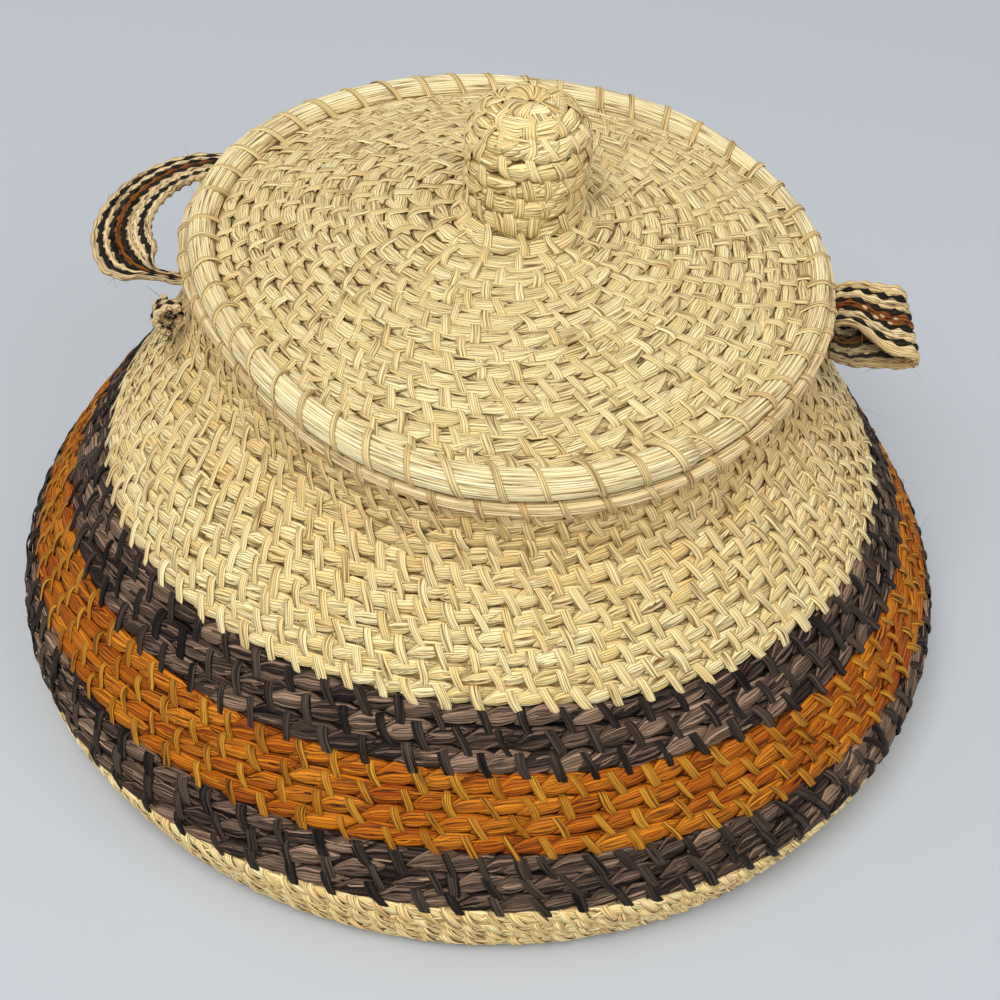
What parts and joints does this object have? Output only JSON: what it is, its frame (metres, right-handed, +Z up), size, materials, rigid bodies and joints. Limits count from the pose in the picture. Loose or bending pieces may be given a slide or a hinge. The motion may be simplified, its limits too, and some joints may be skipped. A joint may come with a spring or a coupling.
{
  "type": "lidded coiled basket",
  "caption": "Round-bellied basket of coiled straw with dyed bands, a domed lid with an upright knob, a bound rim and two flat strap handles.",
  "frame": {"origin": "centre of the base's underside, on the surface that the basket stands on", "axes": "+Z up along the basket's axis, handles at -X and +X, the pictured side faces -Y"},
  "size_m": [0.3005, 0.3005, 0.2031],
  "materials": {
    "natural_straw": "matt sewn straw coil",
    "rim_straw": "satin long straw, bound",
    "dark_straw": "matt dyed straw coil",
    "ochre_straw": "matt dyed straw coil",
    "strap_cord": "twined striped cord"
  },
  "bodies": {
    "basket": {"base_start": "natural_straw", "base_coil": "natural_straw", "foot_coil": "natural_straw", "lower_dark_coil": "dark_straw", "ochre_coil": "ochre_straw", "upper_dark_coil": "dark_straw", "wall_coil": "natural_straw", "mouth_rim_coil": "rim_straw", "left_strap_root_back": "strap_cord", "left_strap_root_front": "strap_cord", "left_strap_tail": "strap_cord", "right_strap_root": "strap_cord"},
    "lid": {"lid_coil": "natural_straw", "lid_rim_coil": "rim_straw", "lid_seat_ring": "natural_straw", "knob_coil": "natural_straw", "knob_start": "rim_straw"},
    "left_handle": {"left_strap": "strap_cord"},
    "right_handle": {"right_strap": "strap_cord"}
  },
  "joints": [
    {"name": "lid_lift", "type": "slide", "parent": "basket", "child": "lid", "axis": [0, 0, 1], "range_m": [0, 0.12]},
    {"name": "left_handle_swing", "type": "hinge", "parent": "basket", "child": "left_handle", "pos_m": [-0.09382, 0.02779, 0.129], "axis": [0.284, 0.9588, 0], "range_deg": [-50, 35]},
    {"name": "right_handle_swing", "type": "hinge", "parent": "basket", "child": "right_handle", "pos_m": [0.10264, -0.00179, 0.129], "axis": [-0.0175, -0.9998, 0], "range_deg": [-50, 35]}
  ]
}
